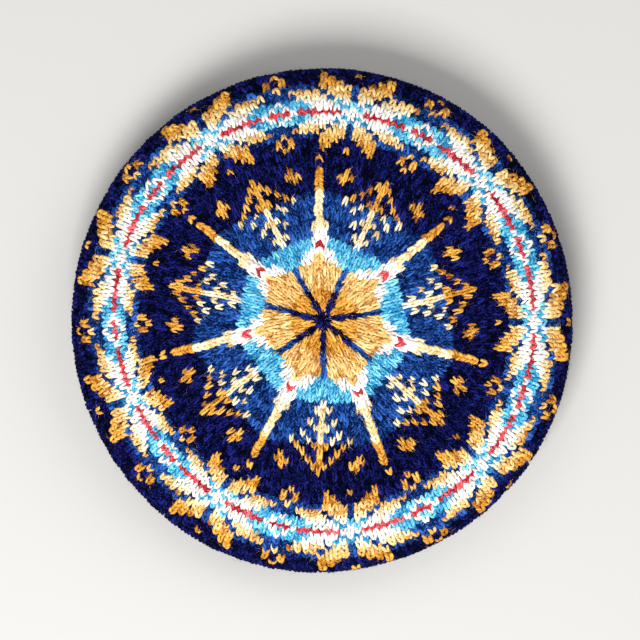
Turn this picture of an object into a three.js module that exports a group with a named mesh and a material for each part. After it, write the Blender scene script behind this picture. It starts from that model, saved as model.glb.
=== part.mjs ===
// A hand-knitted Fair Isle tam, lying flat as it rests by itself. A ribbed headband stands on its lower rim
// and carries a wide, hollow crown: an underside that droops out from the band, a soft fold at the widest
// line and a gently domed top with the seven raised spokes of its wheel. Millimetres, +Z up. The origin is
// the middle of the headband's lower rim, on the surface that the tam lies on, and +Y points along a spoke.
import * as THREE from 'three';

// Driving dimensions
const crownRadius = 132; // the widest line of the crown, from its middle
const wall = 3; // stranded knitting: a layer of stitches and a layer of floats behind it
const seatGap = 0.3; // between the headband's top and the crown that it carries

const bandHeight = 24;
const bandTopRadius = 86; // outside of the wall, halfway between a knit rib and a purl rib
const bandRibs = 33; // pairs of a knit rib and a purl rib
const bandRibDepth = 0.6; // how far a knit rib stands out, and a purl rib back, from the middle
const bandProfile = [
  // the band draws in a little between its two edges
  { height: 0, inset: 0.8 },
  { height: 10, inset: 1.6 },
  { height: bandHeight, inset: 0 },
];

const neckBend = 3.5; // outer radius of the bend from the band into the underside
const widestHeight = 27; // height of the widest line
const foldReach = 9; // from the widest line in to where the fold meets the underside
const foldDrop = 6.5; // from the widest line down to the underside
const domeRise = 20; // from the widest line up to the middle of the top
const domePower = 4; // higher keeps the top flat for longer before it turns down
const gatherRadius = 7; // the last round of stitches, drawn together at the middle
const gatherDip = 1.5;
const gatherReach = 14; // the dip has smoothed out by here

const spokes = 7; // lines of double decreases, each a low ridge
const spokeHeight = 0.6;
const spokeStart = 20; // a ridge rises from here
const spokeEnd = 86; // and has died away here

const outlineWaves = [
  // how far the blocked edge strays from a true circle
  { lobes: 2, swing: 0.5, turn: 0.6 },
  { lobes: 4, swing: 0.3, turn: 2.1 },
  { lobes: 5, swing: 0.2, turn: 4.0 },
];

// Smoothness
const crownSegments = 70; // a multiple of the spokes
const ribSegments = 4; // for each pair of ribs
const topSteps = 11;
const gatherSteps = 3;
const foldSteps = 3;
const undersideSteps = 3;
const neckSteps = 2;

const fullTurn = Math.PI * 2;
const quarterTurn = Math.PI / 2;
const tiny = 1e-6; // keeps a point that lies on a rib's edge in that rib

// 0 below start, 1 above end, and a smooth rise between them
const rise = THREE.MathUtils.smoothstep;

// A lathe turns about +Y, and this stands its result up on +Z
function standUp(geometry) {
  geometry.rotateX(quarterTurn);
  return geometry;
}

// Height of the top's outer face at a share of the way from the middle to the widest line
function topHeight(share) {
  const dip = gatherDip * Math.exp(-(((share * crownRadius) / gatherRadius) ** 2));
  return widestHeight + domeRise * Math.sqrt(Math.max(0, 1 - share ** domePower)) - dip;
}

// The crown's outer face from the middle of the top, over the fold, to its lower rim on the headband
function crownOuterProfile() {
  const points = [];
  for (let step = 0; step < gatherSteps; step += 1) {
    const radius = (gatherReach * step) / gatherSteps;
    points.push(new THREE.Vector2(radius, topHeight(radius / crownRadius)));
  }
  for (let step = 1; step <= topSteps; step += 1) {
    const share = Math.sin((step / topSteps) * quarterTurn) ** (2 / domePower);
    points.push(new THREE.Vector2(share * crownRadius, topHeight(share)));
  }
  const foldRadius = crownRadius - foldReach;
  for (let step = 1; step <= foldSteps; step += 1) {
    const angle = (step / foldSteps) * quarterTurn;
    const radius = foldRadius + foldReach * Math.cos(angle);
    points.push(new THREE.Vector2(radius, widestHeight - foldDrop * Math.sin(angle)));
  }
  const neckRadius = bandTopRadius + neckBend;
  const neckHeight = bandHeight + seatGap + neckBend;
  const droop = neckHeight - (widestHeight - foldDrop);
  for (let step = 1; step < undersideSteps; step += 1) {
    const radius = THREE.MathUtils.lerp(foldRadius, neckRadius, step / undersideSteps);
    points.push(new THREE.Vector2(radius, neckHeight - droop * rise(radius, neckRadius, foldRadius)));
  }
  for (let step = 0; step <= neckSteps; step += 1) {
    const angle = (step / neckSteps) * quarterTurn;
    const radius = neckRadius - neckBend * Math.sin(angle);
    points.push(new THREE.Vector2(radius, neckHeight - neckBend * (1 - Math.cos(angle))));
  }
  return points;
}

// The same line moved in by the wall's thickness, so that the wall is even all the way round
function insetProfile(outer, thickness) {
  return outer.map((point, index) => {
    if (index === 0) {
      return new THREE.Vector2(0, point.y - thickness);
    }
    const before = outer[index - 1];
    const after = outer[Math.min(index + 1, outer.length - 1)];
    const along = index === outer.length - 1 ? new THREE.Vector2(0, -1) : after.clone().sub(before);
    along.normalize();
    return new THREE.Vector2(point.x + along.y * thickness, point.y - along.x * thickness);
  });
}

// Moves a point of the round crown out with the edge's waves and up with the wheel's spokes
function shapeCrown(geometry) {
  const position = geometry.getAttribute('position');
  const spokeAngle = fullTurn / spokes;
  const ridgeHalfWidth = fullTurn / crownSegments;
  for (let index = 0; index < position.count; index += 1) {
    const x = position.getX(index);
    const y = position.getY(index);
    const z = position.getZ(index);
    const radius = Math.hypot(x, y);
    const angle = Math.atan2(x, y);
    const wave = outlineWaves.reduce(
      (sum, { lobes, swing, turn }) => sum + swing * Math.cos(lobes * angle - turn),
      0,
    );
    const stretch = 1 + (wave * rise(radius, bandTopRadius + neckBend, crownRadius)) / crownRadius;
    const spoke = Math.round(angle / spokeAngle) * spokeAngle;
    const near = Math.max(0, 1 - Math.abs(angle - spoke) / ridgeHalfWidth);
    const along = rise(radius, 0, spokeStart) * (1 - rise(radius, spokeStart, spokeEnd));
    const onTop = z > widestHeight ? 1 : 0;
    position.setXYZ(index, x * stretch, y * stretch, z + spokeHeight * near * along * onTop);
  }
  geometry.computeVertexNormals();
  return geometry;
}

function makeCrown() {
  const outer = crownOuterProfile();
  const inner = insetProfile(outer, wall);
  const profile = [...inner, ...outer.reverse()];
  const geometry = standUp(new THREE.LatheGeometry(profile, crownSegments));
  return shapeCrown(geometry);
}

// The ribbing: a ring whose wall steps out on each knit rib and back on each purl rib
function makeHeadband() {
  const outer = bandProfile.map(({ height, inset }) => new THREE.Vector2(bandTopRadius - inset, height));
  const inner = outer.map((point) => new THREE.Vector2(point.x - wall, point.y));
  const profile = [...outer, ...inner.reverse(), outer[0].clone()];
  const geometry = standUp(new THREE.LatheGeometry(profile, bandRibs * ribSegments));
  const position = geometry.getAttribute('position');
  const ribAngle = fullTurn / bandRibs;
  for (let index = 0; index < position.count; index += 1) {
    const x = position.getX(index);
    const y = position.getY(index);
    const radius = Math.hypot(x, y);
    const turn = THREE.MathUtils.euclideanModulo(Math.atan2(x, y) / ribAngle + tiny, 1);
    const side = turn < 0.5 ? 1 : -1;
    const stretch = 1 + (side * bandRibDepth) / radius;
    position.setXY(index, x * stretch, y * stretch);
  }
  geometry.computeVertexNormals();
  return geometry;
}

const crown = new THREE.Mesh(
  makeCrown(),
  new THREE.MeshStandardMaterial({ color: '#2a5ea8', roughness: 0.95, metalness: 0 }),
);
crown.name = 'crown';

const headband = new THREE.Mesh(
  makeHeadband(),
  new THREE.MeshStandardMaterial({ color: '#14145a', roughness: 0.95, metalness: 0 }),
);
headband.name = 'headband';

const tam = new THREE.Group();
tam.add(crown, headband);

export default tam;
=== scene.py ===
"""A hand-knitted Fair Isle tam, built stitch by stitch around its CAD crown and headband.

Sizes are in millimetres and angles in radians until mesh_piece() turns the points into metres. The stage
is in metres. The knitting is laid out on the flattened crown: a plane where a point's distance from the
middle is its distance along the crown's surface, down over the fold, across the underside and down the
headband. Angles turn clockwise from +Y, seen from above. A row of the border is counted outwards from its
red round. A round of the wheel is a course here, counted inwards from the first one with decreases.
"""

import math

import bpy
import numpy as np
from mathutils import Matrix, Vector


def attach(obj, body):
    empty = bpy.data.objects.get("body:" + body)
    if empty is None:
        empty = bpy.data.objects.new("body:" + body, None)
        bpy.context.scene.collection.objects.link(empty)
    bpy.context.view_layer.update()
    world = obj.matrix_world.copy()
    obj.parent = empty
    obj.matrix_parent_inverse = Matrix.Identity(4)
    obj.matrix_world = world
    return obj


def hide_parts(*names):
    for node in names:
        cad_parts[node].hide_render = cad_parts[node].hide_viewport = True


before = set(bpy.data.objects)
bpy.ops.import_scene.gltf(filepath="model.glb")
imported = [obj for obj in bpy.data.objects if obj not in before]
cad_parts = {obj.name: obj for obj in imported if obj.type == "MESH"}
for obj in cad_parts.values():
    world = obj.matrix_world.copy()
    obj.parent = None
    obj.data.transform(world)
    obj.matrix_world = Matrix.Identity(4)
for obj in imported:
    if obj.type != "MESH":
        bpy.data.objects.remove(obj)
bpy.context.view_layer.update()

MM = 0.001

# The crown and headband, as the CAD has them
CROWN_RADIUS = 132
WALL = 3
BAND_HEIGHT = 24
SEAT_GAP = 0.3
BAND_TOP_RADIUS = 86
BAND_RIBS = 33
BAND_RIB_DEPTH = 0.6
BAND_PROFILE = {"height": (0, 10, BAND_HEIGHT), "inset": (0.8, 1.6, 0)}
NECK_BEND = 3.5
WIDEST_HEIGHT = 27
FOLD_REACH = 9
FOLD_DROP = 6.5
DOME_RISE = 20
DOME_POWER = 4
GATHER_RADIUS = 7
GATHER_DIP = 1.5
SPOKES = 7
SPOKE_HEIGHT = 0.6
OUTLINE_WAVES = [
    {"lobes": 2, "swing": 0.5, "turn": 0.6},
    {"lobes": 4, "swing": 0.3, "turn": 2.1},
    {"lobes": 5, "swing": 0.2, "turn": 4.0},
]
FOLD_RADIUS = CROWN_RADIUS - FOLD_REACH
NECK_RADIUS = BAND_TOP_RADIUS + NECK_BEND
NECK_HEIGHT = BAND_HEIGHT + SEAT_GAP + NECK_BEND

FULL_TURN = 2 * math.pi
QUARTER_TURN = math.pi / 2
SECTOR = FULL_TURN / SPOKES
HALF_SECTOR = SECTOR / 2

# The knitting
RED_LENGTH = 110.0  # along the surface, from the middle to the red round
ROUND = 2.41  # from one round of stitches to the next, inside the red round
OUTER_ROUND = 2.76  # and outside it, where blocking stretches the edge
BORDER_STITCHES = 180
REPEAT = 20  # stitches in a repeat of the border
STAR_ANGLE = math.radians(9.56)  # the first axis of a border star
SPOKE_ANGLE = math.radians(0.57)  # the first spoke of the wheel
BORDER_HALF = 8  # rows of the border to each side of the red round
WHEEL_FIRST = -3  # the wheel's outermost course
STRAIGHT_FIRST = 5  # from this course inwards the courses run straight across a sector
PETAL_FIRST = 16  # from this course inwards the decreases lie between the petals
PETAL_LAST = 23
WHEEL_LAST = 24  # the dark lines' last stitches, drawn into the middle
WHEEL_MOST = 13  # half of the stitches of a sector before the first decrease
WHEEL_PLACES = {  # how far from the middle some of the courses lie
    "course": (0, 4, PETAL_FIRST, WHEEL_LAST, WHEEL_LAST + 1),
    "length": (80.0, 66.2, 28.8, 2.9, 0.3),
}
RIB_STITCHES = 4  # two knit and two purl
BAND_STITCHES = RIB_STITCHES * BAND_RIBS
BAND_ROWS = 10
EDGE_ROOM = 0.4  # of a row, for the cast-on edge below them
LINE_PITCH = 3.0  # width of a stitch in the dark lines between the petals
CORNER_SOFTNESS = 0.085  # radians: the courses turn this gently at a spoke


def lerp(low, high, share):
    return low + (high - low) * share


def rise(value, start, end):
    """0 before start, 1 after end and a smooth rise between them."""
    share = np.clip((value - start) / (end - start), 0, 1)
    return share * share * (3 - 2 * share)


# ---------------------------------------------------------------------------------------------------------
# The surface
# ---------------------------------------------------------------------------------------------------------


def outer_line():
    """Radius and height of the outer face, from the middle of the top to the headband's lower rim.

    The points are close enough together to look up places between them.
    """
    share = 1 - np.linspace(1, 0, 900) ** 3  # closer together where the top turns down steeply
    radius = CROWN_RADIUS * share
    dip = GATHER_DIP * np.exp(-((radius / GATHER_RADIUS) ** 2))
    top = radius, WIDEST_HEIGHT + DOME_RISE * np.sqrt(1 - share**DOME_POWER) - dip

    turn = np.linspace(0, QUARTER_TURN, 60)[1:]
    fold = FOLD_RADIUS + FOLD_REACH * np.cos(turn), WIDEST_HEIGHT - FOLD_DROP * np.sin(turn)

    radius = np.linspace(FOLD_RADIUS, NECK_RADIUS, 120)[1:]
    droop = NECK_HEIGHT - (WIDEST_HEIGHT - FOLD_DROP)
    underside = radius, NECK_HEIGHT - droop * rise(radius, NECK_RADIUS, FOLD_RADIUS)

    turn = np.linspace(0, QUARTER_TURN, 30)[1:]
    neck = NECK_RADIUS - NECK_BEND * np.sin(turn), NECK_HEIGHT - NECK_BEND * (1 - np.cos(turn))

    height = np.linspace(BAND_HEIGHT, 0, 60)
    band = BAND_TOP_RADIUS - np.interp(height, BAND_PROFILE["height"], BAND_PROFILE["inset"]), height

    return (np.concatenate(column) for column in zip(top, fold, underside, neck, band))


LINE_RADIUS, LINE_HEIGHT = outer_line()
LINE_LENGTH = np.concatenate([[0], np.cumsum(np.hypot(np.diff(LINE_RADIUS), np.diff(LINE_HEIGHT)))])
LINE_OUT = -np.gradient(LINE_HEIGHT, LINE_LENGTH)
LINE_UP = np.gradient(LINE_RADIUS, LINE_LENGTH)


def length_at(radius, height):
    """The length along the outer face to its point nearest a radius and a height."""
    return LINE_LENGTH[np.argmin(np.hypot(LINE_RADIUS - radius, LINE_HEIGHT - height))]


WIDEST_LENGTH = length_at(CROWN_RADIUS, WIDEST_HEIGHT)
FOLD_LENGTH = length_at(FOLD_RADIUS, WIDEST_HEIGHT - FOLD_DROP)
NECK_LENGTH = length_at(BAND_TOP_RADIUS, BAND_HEIGHT)
RIM_LENGTH = LINE_LENGTH[-1]
EDGE_FIRST = BORDER_HALF + 1  # the first plain row outside the border
UNDERSIDE_FIRST = math.ceil((WIDEST_LENGTH - RED_LENGTH) / OUTER_ROUND) + 1  # just below the widest line
NECK_ROW = int((NECK_LENGTH - RED_LENGTH) / OUTER_ROUND - 0.5)  # the last row before the headband
BAND_ROUND = (RIM_LENGTH - NECK_LENGTH) / (BAND_ROWS + EDGE_ROOM)


def waves(table, angle):
    """The sum of a table's waves at an angle."""
    return sum(wave["swing"] * np.cos(wave["lobes"] * angle - wave["turn"]) for wave in table)


def on_surface(x, y, lift):
    """Wraps a point of the flattened crown onto the real one, lifted off its outer face."""
    length = np.hypot(x, y)
    angle = np.arctan2(x, y)
    radius = np.interp(length, LINE_LENGTH, LINE_RADIUS) + lift * np.interp(length, LINE_LENGTH, LINE_OUT)
    height = np.interp(length, LINE_LENGTH, LINE_HEIGHT) + lift * np.interp(length, LINE_LENGTH, LINE_UP)
    stretch = 1 + waves(OUTLINE_WAVES, angle) * rise(radius, NECK_RADIUS, CROWN_RADIUS) / CROWN_RADIUS
    return np.stack([radius * np.sin(angle) * stretch, radius * np.cos(angle) * stretch, height], -1)


# Blocking leaves the knitting a little off the crown's middle, and pulls and turns it unevenly: millimetres
# out from its own middle and clockwise round it, in waves
WHEEL_MIDDLE = (0.5, -0.3)
WHEEL_PULLS = [{"lobes": 2, "swing": 1.5, "turn": 4.29}]
MIDDLE_TURNS = [
    {"lobes": 1, "swing": 0.7, "turn": 2.85},
    {"lobes": 2, "swing": 1.6, "turn": 2.8},
]
WHEEL_TURNS = [
    {"lobes": 1, "swing": 2.7, "turn": 2.9},
    {"lobes": 2, "swing": 0.6, "turn": 3.3},
]
BORDER_MIDDLE = (1.6, 0.1)
BORDER_PULLS = [
    {"lobes": 2, "swing": 1.8, "turn": 4.71},
    {"lobes": 3, "swing": 0.8, "turn": 2.76},
]
BORDER_TURNS = [
    {"lobes": 1, "swing": 6.2, "turn": 2.64},
    {"lobes": 2, "swing": 1.7, "turn": 5.76},
    {"lobes": 3, "swing": 0.7, "turn": 4.08},
]
BLOCKED_MIDDLE = 30  # the knitting is even at its middle, less so up to here,
BLOCKED_WHEEL = 88  # changes smoothly out to the wheel's edge,
BLOCKED_BORDER = 116  # and from there into the border


def settled(angle, length, lift):
    """A point of the even knitting, given from its own middle, where blocking left it on the crown.

    What blocking does dies away across the underside, so it leaves the headband even.
    """
    keep = 1 - rise(length, FOLD_LENGTH, NECK_LENGTH)
    share = rise(length, BLOCKED_WHEEL, BLOCKED_BORDER)
    outward = rise(length, BLOCKED_MIDDLE, BLOCKED_WHEEL)
    uneven = keep * rise(length, 0, BLOCKED_MIDDLE)
    pull = uneven * lerp(waves(WHEEL_PULLS, angle), waves(BORDER_PULLS, angle), share)
    wheel_turn = lerp(waves(MIDDLE_TURNS, angle), waves(WHEEL_TURNS, angle), outward)
    turn = uneven * lerp(wheel_turn, waves(BORDER_TURNS, angle), share)
    turned = angle + turn / np.maximum(length, BLOCKED_MIDDLE / 2)
    x = lerp(WHEEL_MIDDLE[0], BORDER_MIDDLE[0], share) * keep + (length + pull) * np.sin(turned)
    y = lerp(WHEEL_MIDDLE[1], BORDER_MIDDLE[1], share) * keep + (length + pull) * np.cos(turned)
    return on_surface(x, y, lift)


def row_length(row):
    """How far a row lies from the knitting's middle."""
    return RED_LENGTH + np.where(row > 0, OUTER_ROUND, ROUND) * row


def wheel_length(course):
    """How far a course lies from the knitting's middle, on a sector's axis."""
    courses = (WHEEL_FIRST - 1, *WHEEL_PLACES["course"])
    return np.interp(course, courses, (row_length(-BORDER_HALF), *WHEEL_PLACES["length"]))


# ---------------------------------------------------------------------------------------------------------
# Where a column and a row of each part of the knitting lie
#
# The functions that end in _place turn columns and rows into points. They are all called alike, with the
# stitches' other values in extras, though not all of them need those.
# ---------------------------------------------------------------------------------------------------------


def border_place(column, row, lift, extras):
    """The columns are the same angle apart all round the crown."""
    return settled(STAR_ANGLE + column * FULL_TURN / BORDER_STITCHES, row_length(row), lift)


def band_place(column, row, lift, extras):
    """Rows of the headband are counted down from the crown."""
    length = NECK_LENGTH + (row + 0.5) * BAND_ROUND
    points = settled((column + 0.5) * FULL_TURN / BAND_STITCHES, length, lift + extras["rib"])
    points[..., 2] = np.maximum(points[..., 2], 0)  # the edge lies flat where the tam rests on it
    return points


def half_count(course):
    """Half of the stitches of a sector in a course: one fewer after every second course."""
    return WHEEL_MOST if course < 0 else WHEEL_MOST - 1 - course // 2


def even_half(course):
    """The same as a line through the middles of its steps, for the width of a stitch."""
    return np.clip(WHEEL_MOST - 0.75 - course / 2, 0.5, WHEEL_MOST)


def roundness(course):
    """1 where the courses are circles, 0 where they run straight across each sector."""
    return 1 - rise(course, 0, STRAIGHT_FIRST)


def corner(from_spoke):
    """How much further out than on its sector's axis a straight course lies, by the angle from a spoke."""
    return 1 / np.cos(HALF_SECTOR - np.hypot(from_spoke, CORNER_SOFTNESS))


def sector_width(course):
    """From a sector's axis to its spoke, along a course."""
    return wheel_length(course) * lerp(math.tan(HALF_SECTOR), HALF_SECTOR, roundness(course))


def column_angle(column, course, half):
    """The angle between a column and the axis that it runs parallel to."""
    width = sector_width(course)
    even = width / even_half(course)
    # The columns are evenly spaced near the axis, and squeezed or spread only where the sector ends
    squeeze = (width - even * half) * np.abs(column / half) ** 3
    across = even * column + np.sign(column) * squeeze
    length = wheel_length(course)
    return lerp(np.arctan(across / length), across / length, roundness(course))


def sector_place(column, course, lift, extras):
    """Columns run parallel to the tree in the middle of a sector and end at its spokes."""
    angle = column_angle(column, course, extras["half"])
    reach = wheel_length(course) * lerp(corner(HALF_SECTOR - np.abs(angle)), 1, roundness(course))
    return settled(extras["axis"] + angle, reach, lift)


def spoke_place(column, course, lift, extras):
    """The line of double decreases between two sectors, one stitch wide."""
    reach = wheel_length(course) * lerp(corner(0), 1, roundness(course))
    even = sector_width(course) / even_half(course)
    return settled(extras["axis"] + column * even / reach, reach, lift)


def petal_place(column, course, lift, extras):
    """Columns run parallel to the spoke in the middle of a petal and end at the dark lines."""
    angle = column_angle(column, course, extras["half"])
    reach = wheel_length(course) * lerp(corner(np.abs(angle)), 1, rise(course, PETAL_FIRST, PETAL_LAST))
    return settled(extras["axis"] + angle, reach, lift)


def line_place(column, course, lift, extras):
    """The dark line of decreases between two petals, up to the last stitch, drawn into the middle."""
    length = wheel_length(course)
    return settled(extras["axis"] + column * LINE_PITCH / np.maximum(length, LINE_PITCH), length, lift)


# ---------------------------------------------------------------------------------------------------------
# Charts
# ---------------------------------------------------------------------------------------------------------

# The border's figure, by distance from its red round: the stitches out from the middle of a star that are
# in the figure's yarn. Stitch 0 is the star's axis and 10 the ring's, and both sides are alike.
BORDER_FIGURE = {
    8: (0, 4, 10),
    7: (3, 4, 9),
    6: (2, 3, 4, 9),
    5: (1, 2, 3, 4, 10),
    4: (1, 2, 3, 5, 6, 7, 8),
    3: (1, 2, 4, 5, 6, 7),
    2: (1, 3, 4, 5, 6, 10),
    1: (0, 2, 3, 4, 5, 9),
    0: (0, 1, 8),
}
SKY_ROWS = 2  # the ground is sky blue up to this far from the red round,
MID_BLUE_ROWS = 5  # then mid blue up to here, and navy from there on
BORDER_FIGURE_YARNS = (
    (SKY_ROWS, "white"),
    (SKY_ROWS + 1, "cream"),
    (MID_BLUE_ROWS, "light_gold"),
    (BORDER_HALF, "gold"),
)
BORDER_GROUND_YARNS = (
    (0, "red"),
    (SKY_ROWS, "sky_blue"),
    (MID_BLUE_ROWS, "mid_blue"),
    (BORDER_HALF, "navy"),
)

# The tree, by course: the stitches out from its trunk, both sides alike
TREE_FIGURE = {
    0: (0,),
    1: (0, 1),
    2: (0, 2),
    3: (0, 3),
    4: (0, 1, 4),
    5: (0, 2, 5),
    6: (0, 3),
    7: (0, 1),
    8: (0, 2),
    9: (0,),
    10: (0, 1),
    11: (0,),
}
CROSS_COLUMN = 7  # the middle of the small cross to each side of the tree
CROSS_COURSE = 1
SPOKE_DOT = -2  # the single gold stitch outside a spoke
SPOKE_FIRST = 0  # where the spoke itself starts
HEART_COURSE = 13  # the red stitch in each white point
NAVY_LAST = 4  # the last course with a navy ground, and with a gold figure
CREAM_LAST = 10  # the last course with a cream figure
MID_BLUE_LAST = 11  # the last course with a mid-blue ground
LIGHT_PETAL_LAST = 19  # the last course of light gold, and of mid-blue lines
WHEEL_FIGURE_YARNS = ((NAVY_LAST, "gold"), (CREAM_LAST, "cream"), (PETAL_FIRST - 1, "white"))
WHEEL_GROUND_YARNS = ((NAVY_LAST, "navy"), (MID_BLUE_LAST, "mid_blue"), (PETAL_FIRST - 1, "sky_blue"))
PETAL_YARNS = ((LIGHT_PETAL_LAST, "light_gold"), (PETAL_LAST, "gold"))
LINE_YARNS = ((LIGHT_PETAL_LAST, "mid_blue"), (WHEEL_LAST, "navy"))

# The white star, by course: how many stitches to each side of a spoke are in the figure's yarn
STAR_REACH = {10: 1, 11: 1, 12: 1, 13: 1, 14: 2, 15: 3}


def yarn_of(bands, place):
    """The yarn of the first band that reaches a place."""
    return next(yarn for last, yarn in bands if place <= last)


def border_yarn(column, row):
    step = column % REPEAT
    out = min(step, REPEAT - step)
    away = abs(row)
    if away > BORDER_HALF:
        return "navy"
    if out in BORDER_FIGURE[away]:
        return yarn_of(BORDER_FIGURE_YARNS, away)
    return yarn_of(BORDER_GROUND_YARNS, away)


def sector_yarn(column, course, half):
    out = abs(column)
    if half - out <= STAR_REACH.get(course, 0):
        return yarn_of(WHEEL_FIGURE_YARNS, course)
    if abs(out - CROSS_COLUMN) + abs(course - CROSS_COURSE) <= 1:
        return "gold"
    if out in TREE_FIGURE.get(course, ()):
        return yarn_of(WHEEL_FIGURE_YARNS, course)
    return yarn_of(WHEEL_GROUND_YARNS, course)


def spoke_yarn(course):
    if course == HEART_COURSE:
        return "red"
    if course == PETAL_FIRST - 1:
        return "light_gold"
    if course == SPOKE_DOT:
        return "gold"
    if course < SPOKE_FIRST:
        return "navy"
    return yarn_of(WHEEL_FIGURE_YARNS, course)


# ---------------------------------------------------------------------------------------------------------
# Yarn
# ---------------------------------------------------------------------------------------------------------


def shader(material, kind, **values):
    """A new node with some of its sockets set."""
    node = material.node_tree.nodes.new(kind)
    for name, value in values.items():
        node.inputs[name.replace("_", " ")].default_value = value
    return node


def linear(code):
    """A colour written as #rrggbb, as the shaders want it."""
    parts = [int(code[start : start + 2], 16) / 255 for start in (1, 3, 5)]
    return [p / 12.92 if p <= 0.04045 else ((p + 0.055) / 1.055) ** 2.4 for p in parts] + [1]


# Two plies wind round the yarn, and so do the streaks of its fibres. Each leg of a stitch has its own tint,
# a random number about 0, which turns its plies, shifts its streaks and makes it lighter or darker.
TWIST_RATE = 1.3  # radians for each millimetre of yarn
TINT_TURN = 2.0  # radians
TINT_STREAKS = 7.3  # large, so that hardly any two legs have the same streaks
TINT_SHADE = 0.05
PLY_PAINTED_SHADE = 0.05  # painted highlight and shade: how much lighter the crest of a ply is painted, and how much darker its groove
PLY_RIDGE = 0.25  # how far the crest of a ply stands out, beside the fibres
STREAK_RATE = 0.25  # how fast the streaks change along the yarn
SHADE_STOPS = (0.34, 0.5, 0.66)  # where the deep, the main and the light fibres lie among the streaks

# Each yarn: its deep, main and light fibres
YARN_COLOURS = {
    "navy": ("#000004", "#000116", "#20267e"),
    "mid_blue": ("#020828", "#082460", "#366cc6"),
    "sky_blue": ("#0c6098", "#3cacda", "#9ce8f8"),
    "gold": ("#864a10", "#dc9632", "#fcc862"),
    "light_gold": ("#a45c1a", "#eeba68", "#ffe8a8"),
    "cream": ("#c49c58", "#f8e2ae", "#fff8dc"),
    "white": ("#ccc0b2", "#fbf5ef", "#ffffff"),
    "red": ("#7c101c", "#cc3040", "#f4787e"),
}
YARNS = tuple(YARN_COLOURS)


def yarn_material(name):
    """Shetland wool: two plies twisted together, of fibres that differ a little in colour."""
    colours = [linear(code) for code in YARN_COLOURS[name]]
    material = bpy.data.materials.new(f"yarn_{name}")
    material.use_nodes = True
    tree = material.node_tree
    link = tree.links.new
    wool = tree.nodes["Principled BSDF"]
    wool.inputs["Roughness"].default_value = 0.95
    wool.inputs["Specular IOR Level"].default_value = 0.05
    wool.inputs["Sheen Weight"].default_value = 0.06
    wool.inputs["Sheen Roughness"].default_value = 0.6
    wool.inputs["Sheen Tint"].default_value = colours[-1]

    def maths(operation, *values):
        node = tree.nodes.new("ShaderNodeMath")
        node.operation = operation
        for socket, value in zip(node.inputs, values):
            if isinstance(value, (int, float)):
                socket.default_value = value
            else:
                link(value, socket)
        return node.outputs[0]

    def attribute(name):
        node = tree.nodes.new("ShaderNodeAttribute")
        node.attribute_name = name
        return node

    apart = tree.nodes.new("ShaderNodeSeparateXYZ")
    link(attribute("yarn").outputs["Vector"], apart.inputs[0])
    along, right, up = apart.outputs
    tint = attribute("tint").outputs["Fac"]

    start = maths("MULTIPLY_ADD", tint, TINT_TURN, maths("ARCTAN2", up, right))
    turned = maths("MULTIPLY_ADD", along, TWIST_RATE, start)
    ply = maths("SINE", maths("MULTIPLY", turned, 2))
    wound = tree.nodes.new("ShaderNodeCombineXYZ")
    link(maths("MULTIPLY", along, STREAK_RATE), wound.inputs[0])
    link(maths("COSINE", turned), wound.inputs[1])
    link(maths("SINE", turned), wound.inputs[2])
    streaks = shader(material, "ShaderNodeTexNoise", Scale=2.0, Detail=3.0, Roughness=0.6)
    streaks.noise_dimensions = "4D"
    link(wound.outputs[0], streaks.inputs["Vector"])
    link(maths("MULTIPLY", tint, TINT_STREAKS), streaks.inputs["W"])

    ramp = tree.nodes.new("ShaderNodeValToRGB")
    stops = ramp.color_ramp.elements
    stops.new(SHADE_STOPS[1])
    for stop, place, colour in zip(stops, SHADE_STOPS, colours):
        stop.position = place
        stop.color = colour
    shade = maths("MULTIPLY_ADD", tint, TINT_SHADE, streaks.outputs["Fac"])
    # painted highlight and shade: the crest of each ply is painted lighter and its groove darker
    link(maths("MULTIPLY_ADD", ply, PLY_PAINTED_SHADE, shade), ramp.inputs["Fac"])
    link(ramp.outputs["Color"], wool.inputs["Base Color"])

    ridges = maths("MULTIPLY_ADD", ply, PLY_RIDGE, streaks.outputs["Fac"])
    bump = shader(material, "ShaderNodeBump", Strength=0.6, Distance=0.4 * MM)
    link(ridges, bump.inputs["Height"])
    link(bump.outputs["Normal"], wool.inputs["Normal"])
    return material


MATERIALS = [yarn_material(name) for name in YARNS]


# ---------------------------------------------------------------------------------------------------------
# Shapes and meshes
#
# A mesh is four arrays: its points in millimetres, its triangles, the yarn of each triangle, and for each
# point its place in its yarn, which is how far along it lies, its cosine and sine round it, and its tint.
# ---------------------------------------------------------------------------------------------------------


def mesh_piece(name, points, faces, yarns, yarn_place):
    """A mesh in Blender, with a material for each yarn that it uses."""
    mesh = bpy.data.meshes.new(name)
    mesh.vertices.add(len(points))
    mesh.vertices.foreach_set("co", (points * MM).astype(np.float32).ravel())
    mesh.loops.add(faces.size)
    mesh.loops.foreach_set("vertex_index", faces.astype(np.int32).ravel())
    mesh.polygons.add(len(faces))
    mesh.polygons.foreach_set("loop_start", np.arange(0, faces.size, 3, dtype=np.int32))
    used = sorted(set(yarns.tolist()))
    for yarn in used:
        mesh.materials.append(MATERIALS[yarn])
    slots = np.searchsorted(used, yarns)
    mesh.polygons.foreach_set("material_index", slots.astype(np.int32))
    mesh.update(calc_edges=True)
    mesh.shade_smooth()
    place = mesh.attributes.new("yarn", "FLOAT_VECTOR", "POINT")
    place.data.foreach_set("vector", yarn_place[:, :3].astype(np.float32).ravel())
    tint = mesh.attributes.new("tint", "FLOAT", "POINT")
    tint.data.foreach_set("value", yarn_place[:, 3].astype(np.float32))
    piece = bpy.data.objects.new(name, mesh)
    bpy.context.scene.collection.objects.link(piece)
    return piece


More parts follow.
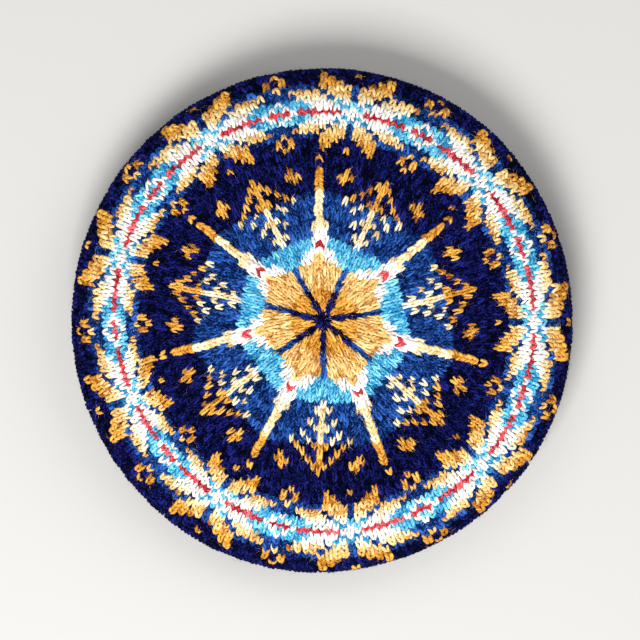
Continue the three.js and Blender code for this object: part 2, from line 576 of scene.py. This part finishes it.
# The centre line of a stitch's right leg. across: stitches out from the stitch's middle; along: rows on
# from it, the way that the knitting grows; out: millimetres off the outer face; thick: share of the full
# yarn
LEG = [
    {"across": 0.08, "along": -1.15, "out": -1.1, "thick": 0},
    {"across": 0.13, "along": -0.68, "out": -0.1, "thick": 0.9},
    {"across": 0.24, "along": 0.00, "out": 0.35, "thick": 1},
    {"across": 0.35, "along": 0.68, "out": 0.0, "thick": 0.9},
    {"across": 0.40, "along": 1.15, "out": -1.0, "thick": 0},
]
LEG_WIDTH = 0.77  # half of the yarn's width, in the plane of the fabric
LEG_DEPTH = 0.6  # and out of it
STITCH_WIDTH = 3.1  # a middling stitch, to shape the leg's section by

# How uneven the handwork is: shares of a leg's width and length, stitches that it leans for each row,
# stitches and rows that its middle is off, and millimetres in or out
UNEVEN = {"spread": 0.12, "reach": 0.10, "lean": 0.07, "across": 0.05, "along": 0.09, "out": 0.16}


def spindle(line, width, depth, sides):
    """A tapering, closed length of yarn along a centre line.

    Its points are in stitches, rows and millimetres, each with its place in the yarn.
    """
    across = np.array([p["across"] for p in line]) * STITCH_WIDTH
    along = np.array([p["along"] for p in line]) * ROUND
    out = np.array([p["out"] for p in line])
    thick = np.array([p["thick"] for p in line])
    heading = np.arctan2(np.gradient(along), np.gradient(across))
    travel = np.concatenate([[0], np.cumsum(np.hypot(np.diff(across), np.diff(along)))])
    rings = len(line) - 2
    corners = [(math.cos(angle), math.sin(angle)) for angle in np.arange(sides) / sides * FULL_TURN]
    points = [(across[0], along[0], out[0], 0, 0, 0)]
    for ring in range(1, rings + 1):
        for right, up in corners:
            aside = right * width * thick[ring]
            points.append(
                (
                    across[ring] + aside * math.sin(heading[ring]),
                    along[ring] - aside * math.cos(heading[ring]),
                    out[ring] + up * depth * thick[ring],
                    travel[ring],
                    right,
                    up,
                )
            )
    points.append((across[-1], along[-1], out[-1], travel[-1], 0, 0))
    last = len(points) - 1
    faces = []
    for side in range(sides):
        following = (side + 1) % sides
        faces.append((0, 1 + following, 1 + side))
        for ring in range(rings - 1):
            near, far = 1 + ring * sides, 1 + (ring + 1) * sides
            faces.append((near + side, near + following, far + following))
            faces.append((near + side, far + following, far + side))
        end = 1 + (rings - 1) * sides
        faces.append((end + side, end + following, last))
    points = np.array(points)
    points[:, 0] /= STITCH_WIDTH
    points[:, 1] /= ROUND
    return points, np.array(faces)


ROPE_WIDTH = 0.8  # half of a leg's width and depth where three stitches lie on each other
LEG_SHAPE = spindle(LEG, LEG_WIDTH, LEG_DEPTH, sides=5)
PLAIN_LEG_SHAPE = spindle(LEG, LEG_WIDTH, LEG_DEPTH, sides=4)  # for the underside
ROPE_SHAPE = spindle(LEG, ROPE_WIDTH, ROPE_WIDTH, sides=6)

# The loop between two legs, which shows on the purl side
BUMP = [
    {"across": -0.62, "along": 0.20, "out": -0.9, "thick": 0},
    {"across": -0.36, "along": -0.12, "out": 0.0, "thick": 0.9},
    {"across": 0.00, "along": -0.30, "out": 0.25, "thick": 1},
    {"across": 0.36, "along": -0.12, "out": 0.0, "thick": 0.9},
    {"across": 0.62, "along": 0.20, "out": -0.9, "thick": 0},
]
PLAIN_BUMP = [BUMP[0], BUMP[1], BUMP[3], BUMP[4]]  # for the crown's inside
PLAIN_BUMP_WIDTH = 1.3 * LEG_WIDTH
BUMP_SHAPE = spindle(BUMP, LEG_WIDTH, LEG_DEPTH, sides=5)
PLAIN_BUMP_SHAPE = spindle(PLAIN_BUMP, PLAIN_BUMP_WIDTH, LEG_DEPTH, sides=4)

# One turn of the cast-on edge's twist
TWIST = [
    {"across": -0.85, "along": -0.30, "out": -0.5, "thick": 0},
    {"across": -0.40, "along": -0.22, "out": 0.1, "thick": 0.9},
    {"across": 0.00, "along": 0.00, "out": 0.3, "thick": 1},
    {"across": 0.40, "along": 0.22, "out": 0.1, "thick": 0.9},
    {"across": 0.85, "along": 0.30, "out": -0.5, "thick": 0},
]
TWIST_WIDTH = 0.95
TWIST_DEPTH = 0.8
TWIST_SHAPE = spindle(TWIST, TWIST_WIDTH, TWIST_DEPTH, sides=6)


def laid(stitches, place, random, shape, hands=(1,), spread=1, lift=0, inside=False):
    """A shape for each stitch, and its mirror image where hands has -1, a little uneven as handwork is.

    A stitch's shift moves all of it, and a wobble each of its shapes alone.
    """
    template, template_faces = shape
    count = len(stitches["column"])
    shift = random.normal(0, 1, (count, 4))
    extras = {key: value[:, None] for key, value in stitches.items()}
    parts = []
    for hand in hands:
        wobble = random.normal(0, 1, (count, 4))
        across = hand * template[:, 0] * spread * (1 + UNEVEN["spread"] * wobble[:, :1])
        lean = UNEVEN["lean"] * (shift[:, 3:] + wobble[:, 3:]) * template[:, 1]
        along = template[:, 1] * (1 + UNEVEN["reach"] * wobble[:, 1:2])
        column = extras["column"] + across + lean + UNEVEN["across"] * shift[:, :1]
        row = extras["row"] + extras["way"] * (along + UNEVEN["along"] * shift[:, 1:2])
        out = template[:, 2] + lift + UNEVEN["out"] * (shift[:, 2:3] + 0.5 * wobble[:, 2:3])
        points = place(column, row, -WALL - out if inside else out, extras)
        yarn_place = np.empty((*points.shape[:2], 4))
        yarn_place[..., :3] = template[:, 3:]
        yarn_place[..., 3] = shift[:, 2:3] + wobble[:, 3:]
        mirrored = (hand < 0) != inside
        faces = template_faces[:, ::-1] if mirrored else template_faces
        parts.append(joined(points, faces, stitches["yarn"], yarn_place))
    return parts


def knit(stitches, place, random, shape=LEG_SHAPE, **how):
    """The knit side: both legs of each stitch."""
    return laid(stitches, place, random, shape, hands=(1, -1), **how)


def purl(stitches, place, random, shape=BUMP_SHAPE, **how):
    """The purl side: the loop between the two legs of each stitch."""
    return laid(stitches, place, random, shape, **how)


# Hairs: the flat ones lie on the stitches, and those of the halo stand up. reach: how long one is, before
# it is shortened or lengthened; height: how far it may rise; radius: half of its width
HAIR_KINDS = {
    "flat": {"reach": 2.4, "height": 0.5, "radius": 0.06},
    "halo": {"reach": 5.0, "height": 3.0, "radius": 0.03},
}
HAIR_SHORTEST = 0.4  # shares of its reach
HAIR_LONGEST = 1.3
HAIR_START = 0.8  # above the crown's outer face, just below the crest of a leg
HAIR_BEND = 0.9  # radians by its end, as a standard deviation
HAIR_PAINTED_HIGHLIGHT = 2.5  # painted highlight: most hairs are painted lighter than their yarn, as lit fuzz
HAIR_TINT_SPREAD = 2

# A hair is thickest in the middle: its start, three corners round its middle, and its end
HAIR_CORNERS = np.arange(3) * FULL_TURN / 3
HAIR_FACES = np.array([(0, 2, 1), (0, 3, 2), (0, 1, 3), (1, 2, 4), (2, 3, 4), (3, 1, 4)])


def fibres(stitches, place, random, share, reach, height, radius):
    """Bent hairs that stand out of the yarn. share: how many there are for each stitch."""
    count = int(len(stitches["column"]) * share)
    chosen = random.integers(0, len(stitches["column"]), count)
    extras = {key: value[chosen][:, None] for key, value in stitches.items()}
    steps = np.arange(3) / 2  # its start, middle and end
    heading = random.uniform(0, FULL_TURN, (count, 1)) + random.normal(0, HAIR_BEND, (count, 1)) * steps
    travel = reach * random.uniform(HAIR_SHORTEST, HAIR_LONGEST, (count, 1)) * steps
    from_middle = random.uniform(-0.5, 0.5, (count, 1))
    column = extras["column"] + from_middle + travel * np.cos(heading) / STITCH_WIDTH
    from_middle = random.uniform(-0.5, 0.5, (count, 1))
    row = extras["row"] + from_middle + travel * np.sin(heading) / ROUND
    path = place(column, row, HAIR_START + height * random.random((count, 1)) ** 2 * steps, extras)

    ahead = path[:, 2] - path[:, 0]
    side = np.cross(ahead, random.normal(0, 1, (count, 3)))
    side /= np.linalg.norm(side, axis=1, keepdims=True)
    over = np.cross(ahead, side)
    over /= np.linalg.norm(over, axis=1, keepdims=True)
    corners = HAIR_CORNERS[None, :, None]
    ring = radius * (np.cos(corners) * side[:, None] + np.sin(corners) * over[:, None])
    points = np.concatenate([path[:, :1], path[:, 1:2] + ring, path[:, 2:]], axis=1)
    yarn_place = np.zeros((*points.shape[:2], 4))
    # painted highlight: each hair's tint is set high, so it is painted lighter than its yarn
    yarn_place[..., 3] = random.normal(HAIR_PAINTED_HIGHLIGHT, HAIR_TINT_SPREAD, (count, 1))
    return joined(points, HAIR_FACES, extras["yarn"][:, 0], yarn_place)


def joined(points, faces, yarns, yarn_place):
    """Copies of one shape, a row of points and a yarn for each, as one mesh."""
    count, size = points.shape[:2]
    starts = (np.arange(count) * size)[:, None, None]
    all_faces = (faces[None] + starts).reshape(-1, 3)
    return points.reshape(-1, 3), all_faces, np.repeat(yarns, len(faces)), yarn_place.reshape(-1, 4)


def gathered(parts):
    """Several meshes as one."""
    points, faces, yarns, yarn_place = zip(*parts)
    starts = np.cumsum([0] + [len(array) for array in points[:-1]])
    faces = [array + start for array, start in zip(faces, starts)]
    return [np.concatenate(arrays) for arrays in (points, faces, yarns, yarn_place)]


def lathe(lengths, lifts, yarns, segments, closed):
    """A skin under the stitches: a profile on the flattened crown, turned about the middle.

    The profile closes on itself, or else its first and last rings are closed over at the middle.
    """
    angles = np.arange(segments) * FULL_TURN / segments
    points = settled(angles[None], np.array(lengths)[:, None], np.array(lifts)[:, None]).reshape(-1, 3)
    here = np.arange(segments)
    beside = (here + 1) % segments
    rings = len(lengths)
    faces = []
    for ring in range(rings if closed else rings - 1):
        near, far = ring * segments, (ring + 1) % rings * segments
        faces.append(np.stack([near + here, far + beside, far + here], -1))
        faces.append(np.stack([near + here, near + beside, far + beside], -1))
    face_yarns = np.repeat(yarns[: len(faces) // 2], 2 * segments)
    if not closed:
        middle = np.full(segments, rings * segments)
        last = middle - segments
        faces.append(np.stack([middle, beside, here], -1))
        faces.append(np.stack([middle + 1, last + here, last + beside], -1))
        points = np.concatenate([points, settled(0, 0, np.array([lifts[0], lifts[-1]]))])
        face_yarns = np.concatenate([face_yarns, np.repeat([yarns[0], yarns[-1]], segments)])
    return points, np.concatenate(faces), face_yarns, np.zeros((len(points), 4))


# ---------------------------------------------------------------------------------------------------------
# Stitches
# ---------------------------------------------------------------------------------------------------------


def stitch_list(stitches):
    """A list of stitches, as one array for each of their values."""
    return {key: np.array([values[key] for values in stitches]) for key in stitches[0]}


def stitch(column, row, yarn, way, **more):
    """The values of one stitch, with any others that its place needs.

    way is 1 where rows are counted the way that the knitting grows, from the headband to the middle, and
    -1 where they are counted back.
    """
    return {"column": column, "row": row, "way": way, "yarn": YARNS.index(yarn), **more}


def border_stitches(rows):
    """The border's stitches, and those of the plain rows outside it."""
    return stitch_list(
        [
            stitch(column, row, border_yarn(column, row), way=-1)
            for row in rows
            for column in range(BORDER_STITCHES)
        ]
    )


def tree_axis(sector):
    return SPOKE_ANGLE + (sector + 0.5) * SECTOR


def spoke_axis(sector):
    return SPOKE_ANGLE + sector * SECTOR


def sector_stitch(column, course, sector):
    half = half_count(course)
    yarn = sector_yarn(column, course, half)
    return stitch(column, course, yarn, way=1, half=half, axis=tree_axis(sector))


def petal_stitch(column, course, sector):
    yarn = yarn_of(PETAL_YARNS, course)
    return stitch(column, course, yarn, way=1, half=half_count(course), axis=spoke_axis(sector))


def sector_stitches():
    return stitch_list(
        [
            sector_stitch(column, course, sector)
            for course in range(WHEEL_FIRST, PETAL_FIRST)
            for sector in range(SPOKES)
            for column in range(1 - half_count(course), half_count(course))
        ]
    )


def spoke_stitches():
    return stitch_list(
        [
            stitch(0, course, spoke_yarn(course), way=1, axis=spoke_axis(sector))
            for course in range(WHEEL_FIRST, PETAL_FIRST)
            for sector in range(SPOKES)
        ]
    )


def petal_stitches():
    return stitch_list(
        [
            petal_stitch(column, course, sector)
            for course in range(PETAL_FIRST, PETAL_LAST + 1)
            for sector in range(SPOKES)
            for column in range(1 - half_count(course), half_count(course))
        ]
    )


def line_stitches():
    return stitch_list(
        [
            stitch(0, course, yarn_of(LINE_YARNS, course), way=1, axis=tree_axis(sector))
            for course in range(PETAL_FIRST, WHEEL_LAST + 1)
            for sector in range(SPOKES)
        ]
    )


def band_stitches(knit_ribs):
    """The stitches of the ribs that are knit outside and purl inside, or else of the ribs between them."""
    away = BAND_RIB_DEPTH if knit_ribs else -BAND_RIB_DEPTH
    half = RIB_STITCHES // 2
    columns = [column for column in range(BAND_STITCHES) if (column % RIB_STITCHES < half) == knit_ribs]
    return stitch_list(
        [stitch(column, row, "navy", way=-1, rib=away) for row in range(BAND_ROWS) for column in columns]
    )


# ---------------------------------------------------------------------------------------------------------
# Pieces
# ---------------------------------------------------------------------------------------------------------

SPOKE_SPREAD = 1.35  # how much wider than other stitches those on the spokes are,
LINE_SPREAD = 1.1  # and those on the dark lines between the petals
OUTSIDE_DEPTH = 0.9  # from the wall's outer face in to the layer of floats
INSIDE_DEPTH = 1.0  # and from its inner face out to that layer
BACKING_RINGS = 60
BACKING_SEGMENTS = 98
BACKING_FIRST = 1  # where the layer of floats starts, as a length from the middle
BACKING_LAST = NECK_LENGTH - 0.4
CORE_RINGS = 12
CORE_FIRST = NECK_LENGTH - 0.3
CORE_LAST = RIM_LENGTH - 0.8
EDGE_ROW = BAND_ROWS - 0.55  # where the cast-on edge lies

# How many hairs of each kind there are for each stitch
HAIRS = {
    "border": {"flat": 2.8, "halo": 0.5},
    "rim": {"flat": 0.8, "halo": 1.3},
    "underside": {"flat": 0.2, "halo": 0.4},
    "sectors": {"flat": 3.4, "halo": 0.8},
    "spokes": {"flat": 3.0, "halo": 0.8},
    "petals": {"flat": 6.0, "halo": 1.0},
    "lines": {"flat": 5.0, "halo": 0.8},
}

# Each part of the crown's knitting: its stitches and how they lie
CROWN_KNITTING = {
    "border": (border_stitches(range(-BORDER_HALF, EDGE_FIRST)), border_place),
    "rim": (border_stitches(range(EDGE_FIRST, UNDERSIDE_FIRST)), border_place),
    "underside": (border_stitches(range(UNDERSIDE_FIRST, NECK_ROW + 1)), border_place),
    "sectors": (sector_stitches(), sector_place),
    "spokes": (spoke_stitches(), spoke_place),
    "petals": (petal_stitches(), petal_place),
    "lines": (line_stitches(), line_place),
}


def finished(piece, node):
    """The piece stands for a CAD node, which is hidden, and is attached to the root."""
    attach(piece, "root")
    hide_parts(node)


def crown_piece(name, parts):
    finished(mesh_piece(name, *gathered(parts)), "crown")


def band_piece(name, parts):
    finished(mesh_piece(name, *gathered(parts)), "headband")


def make_crown_outside():
    """The knit side of the crown."""
    random = np.random.default_rng(11)
    crown_piece("border_stitches", knit(*CROWN_KNITTING["border"], random))
    crown_piece(
        "edge_stitches",
        knit(*CROWN_KNITTING["rim"], random)
        + knit(*CROWN_KNITTING["underside"], random, PLAIN_LEG_SHAPE),
    )
    crown_piece(
        "wheel_stitches",
        knit(*CROWN_KNITTING["sectors"], random)
        + knit(*CROWN_KNITTING["spokes"], random, ROPE_SHAPE, spread=SPOKE_SPREAD, lift=SPOKE_HEIGHT),
    )
    crown_piece(
        "petal_stitches",
        knit(*CROWN_KNITTING["petals"], random)
        + knit(*CROWN_KNITTING["lines"], random, ROPE_SHAPE, spread=LINE_SPREAD),
    )


def make_crown_inside():
    """The purl side of the crown, with a loop for each stitch."""
    random = np.random.default_rng(12)
    parts = []
    for stitches, place in CROWN_KNITTING.values():
        parts += purl(stitches, place, random, shape=PLAIN_BUMP_SHAPE, inside=True)
    crown_piece("inside_loops", parts)


def ground_bands():
    """The yarn behind the stitches, by length from the middle, changing halfway between two rounds."""
    return (
        (wheel_length(PETAL_LAST + 0.5), "navy"),
        (wheel_length(LIGHT_PETAL_LAST + 0.5), "gold"),
        (wheel_length(PETAL_FIRST - 0.5), "light_gold"),
        (wheel_length(MID_BLUE_LAST + 0.5), "sky_blue"),
        (wheel_length(NAVY_LAST + 0.5), "mid_blue"),
        (row_length(-MID_BLUE_ROWS - 0.5), "navy"),
        (row_length(-SKY_ROWS - 0.5), "mid_blue"),
        (row_length(SKY_ROWS + 0.5), "sky_blue"),
        (row_length(MID_BLUE_ROWS + 0.5), "mid_blue"),
        (RIM_LENGTH, "navy"),
    )


def layer(lengths, yarns, segments, closed):
    """A dense layer under the stitches, over a run of lengths with a yarn at each."""
    lifts = [-OUTSIDE_DEPTH] * len(lengths) + [INSIDE_DEPTH - WALL] * len(lengths)
    return lathe(lengths + lengths[::-1], lifts, yarns + yarns[::-1], segments, closed)


def make_backing():
    """The floats that run behind the crown's stitches, as one dense layer."""
    bands = ground_bands()
    lengths = list(np.linspace(BACKING_FIRST, BACKING_LAST, BACKING_RINGS))
    yarns = [YARNS.index(yarn_of(bands, length)) for length in lengths]
    crown_piece("float_layer", [layer(lengths, yarns, BACKING_SEGMENTS, closed=False)])


def make_fuzz():
    """Hairs all over the crown's outside."""
    random = np.random.default_rng(14)
    parts = []
    for name, (stitches, place) in CROWN_KNITTING.items():
        for kind, size in HAIR_KINDS.items():
            parts.append(fibres(stitches, place, random, HAIRS[name][kind], **size))
    crown_piece("wool_fuzz", parts)


def make_band():
    """Ribbing on both sides of a dense core, with a twisted cast-on edge."""
    random = np.random.default_rng(13)
    ribs = knit(band_stitches(True), band_place, random)
    ribs += purl(band_stitches(False), band_place, random)
    ribs += knit(band_stitches(False), band_place, random, inside=True)
    ribs += purl(band_stitches(True), band_place, random, inside=True)
    band_piece("rib_stitches", ribs)

    edge = [stitch(column, EDGE_ROW, "navy", way=-1, rib=-WALL / 2) for column in range(BAND_STITCHES)]
    band_piece("cast_on_edge", laid(stitch_list(edge), band_place, random, TWIST_SHAPE))

    lengths = list(np.linspace(CORE_FIRST, CORE_LAST, CORE_RINGS))
    yarns = [YARNS.index("navy")] * CORE_RINGS
    band_piece("rib_core", [layer(lengths, yarns, BAND_STITCHES, closed=True)])


make_crown_outside()
make_backing()
make_crown_inside()
make_fuzz()
make_band()

# ---------------------------------------------------------------------------------------------------------
# Stage, in metres and watts
# ---------------------------------------------------------------------------------------------------------

LIGHTS = [
    {"name": "key", "place": (-0.3, -0.9, 1.3), "size": 0.8, "power": 31},
    {"name": "fill", "place": (1.1, 0.5, 1.4), "size": 1.4, "power": 10},
    {"name": "top", "place": (-0.5, 0.8, 1.6), "size": 1.0, "power": 5},
]
STUDIO_LIGHT = 0.28  # the soft light from all round
FLOOR_REACH = 3
CAMERA_DISTANCE = 1.5
VIEW_WIDTH = 337.5 * MM  # what the camera sees, at the height of the crown's widest line
VIEW_MIDDLE = (-1.25 * MM, 0.1 * MM)  # so the tam lies a little to the right of it


def make_floor():
    mesh = bpy.data.meshes.new("floor")
    corners = [(-1, -1), (1, -1), (1, 1), (-1, 1)]
    mesh.from_pydata([(x * FLOOR_REACH, y * FLOOR_REACH, 0) for x, y in corners], [], [(0, 1, 2, 3)])
    floor = bpy.data.objects.new("floor", mesh)
    bpy.context.scene.collection.objects.link(floor)
    material = bpy.data.materials.new("pale_floor")
    material.use_nodes = True
    surface = material.node_tree.nodes["Principled BSDF"]
    surface.inputs["Base Color"].default_value = linear("#c9c7c4")
    surface.inputs["Roughness"].default_value = 0.9
    surface.inputs["Specular IOR Level"].default_value = 0.1
    mesh.materials.append(material)


def make_light(name, place, size, power):
    """A soft square lamp that shines at the tam."""
    data = bpy.data.lights.new(name, "AREA")
    data.size = size
    data.energy = power
    light = bpy.data.objects.new(name, data)
    light.location = place
    light.rotation_mode = "QUATERNION"
    light.rotation_quaternion = (-Vector(place)).to_track_quat("-Z", "Y")
    bpy.context.scene.collection.objects.link(light)


def make_stage():
    make_floor()
    for light in LIGHTS:
        make_light(**light)
    world = bpy.data.worlds.new("studio")
    world.use_nodes = True
    background = world.node_tree.nodes["Background"]
    background.inputs["Color"].default_value = (1, 1, 1, 1)
    background.inputs["Strength"].default_value = STUDIO_LIGHT
    bpy.context.scene.world = world


def set_view():
    """Colours show as they are, with no film curve."""
    bpy.context.scene.view_settings.view_transform = "Standard"


def make_camera():
    """Straight above, far enough back that the knitting shows hardly any perspective."""
    data = bpy.data.cameras.new("camera")
    camera = bpy.data.objects.new("camera", data)
    data.lens = data.sensor_width * CAMERA_DISTANCE / VIEW_WIDTH
    camera.location = (*VIEW_MIDDLE, CAMERA_DISTANCE + WIDEST_HEIGHT * MM)
    bpy.context.scene.collection.objects.link(camera)
    bpy.context.scene.camera = camera


make_stage()
set_view()
make_camera()
